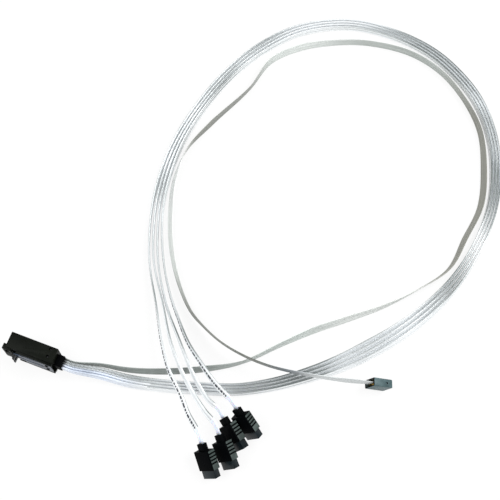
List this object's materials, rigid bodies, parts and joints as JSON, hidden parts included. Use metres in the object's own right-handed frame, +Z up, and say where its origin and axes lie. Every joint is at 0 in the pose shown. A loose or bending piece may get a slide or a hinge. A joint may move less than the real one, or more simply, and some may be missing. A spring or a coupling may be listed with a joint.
{
  "type": "mini sas breakout cable",
  "caption": "Internal data cable: a wide latching plug, flat silver lane ribbons to drive plugs, and a thin sideband ribbon to a small socket housing.",
  "frame": {"origin": "middle of the narrow side that the wide plug rests on", "axes": "+X along the wide plug from its mating end to its ribbons, +Y from its latch side to its plain side, +Z up"},
  "size_m": [0.2916, 0.3775, 0.0227],
  "materials": {
    "black_plastic": "fine moulded texture with a soft sheen",
    "dark_plastic": "matt overmoulding",
    "latch_steel": "blue-grey spring steel",
    "pin_steel": "blackened",
    "card_laminate": "glossy solder mask",
    "inner_moulding": "hot-melt moulding",
    "clear_jacket": "clear jacket over silver foil",
    "grey_ribbon": "ribbed grey ribbon",
    "teal_plastic": "dark grey-green nylon",
    "contact_alloy": "gold flash"
  },
  "bodies": {
    "cable": {"plug_shell_lower": "black_plastic", "plug_shell_upper": "black_plastic", "shell_pin_1": "pin_steel", "shell_pin_2": "pin_steel", "paddle_card": "card_laminate", "inner_moulding": "inner_moulding", "plug_boot": "dark_plastic", "latch_rivet_1": "pin_steel", "latch_rivet_2": "pin_steel", "drive_plug_1_housing": "black_plastic", "drive_plug_1_contacts": "contact_alloy", "drive_plug_1_boot": "dark_plastic", "drive_plug_2_housing": "black_plastic", "drive_plug_2_contacts": "contact_alloy", "drive_plug_2_boot": "dark_plastic", "drive_plug_3_housing": "black_plastic", "drive_plug_3_contacts": "contact_alloy", "drive_plug_3_boot": "dark_plastic", "drive_plug_4_housing": "black_plastic", "drive_plug_4_contacts": "contact_alloy", "drive_plug_4_boot": "dark_plastic", "sideband_housing": "teal_plastic", "sideband_terminals": "contact_alloy", "lane_ribbon_1": "clear_jacket", "lane_ribbon_2": "clear_jacket", "lane_ribbon_3": "clear_jacket", "lane_ribbon_4": "clear_jacket", "sideband_ribbon": "grey_ribbon"},
    "latch": {"latch_leaf": "latch_steel"}
  },
  "joints": [
    {"name": "latch_press", "type": "hinge", "parent": "cable", "child": "latch", "pos_m": [0.013, -0.00705, 0.0112], "axis": [0, 0, -1], "range_deg": [0, 2.5], "stiffness_Nm_per_rad": 1}
  ]
}
